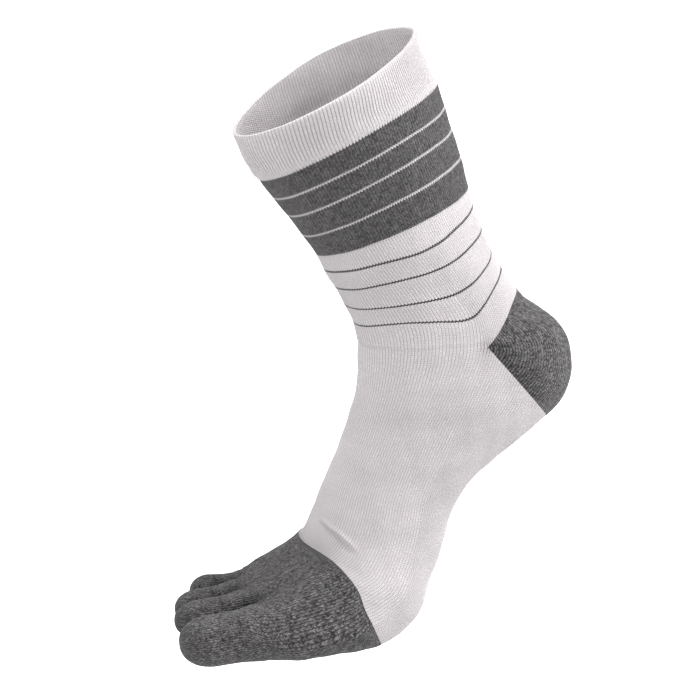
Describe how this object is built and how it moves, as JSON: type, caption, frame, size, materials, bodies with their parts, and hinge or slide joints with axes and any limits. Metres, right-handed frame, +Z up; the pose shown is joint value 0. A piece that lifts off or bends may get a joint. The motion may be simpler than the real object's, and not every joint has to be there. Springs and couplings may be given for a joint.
{
  "type": "toe sock",
  "caption": "Knitted crew-length toe sock for the right foot: an open hollow tube with a ribbed cuff, a heel pocket and a separate pocket for each toe.",
  "frame": {"origin": "middle of the hollow at the ankle, where the foot that wears the sock holds it", "axes": "+Z up as worn on tiptoe with the leg leaning forward, toes along -X, big toe side along -Y"},
  "size_m": [0.2044, 0.097, 0.3098],
  "materials": {
    "white_rib": "matte ribbed knit",
    "grey_striped_knit": "matte heathered knit with fine white stripes",
    "white_striped_knit": "matte fine knit with fine grey stripes",
    "grey_knit": "matte heathered knit",
    "white_knit": "matte fine knit"
  },
  "bodies": {
    "root": {"cuff": "white_rib", "striped_band": "grey_striped_knit", "ankle": "white_striped_knit", "heel": "grey_knit", "foot": "white_knit", "ball": "white_knit", "forefoot": "grey_knit", "big_toe": "grey_knit", "second_toe": "grey_knit", "third_toe": "grey_knit", "fourth_toe": "grey_knit", "little_toe": "grey_knit"}
  },
  "joints": []
}
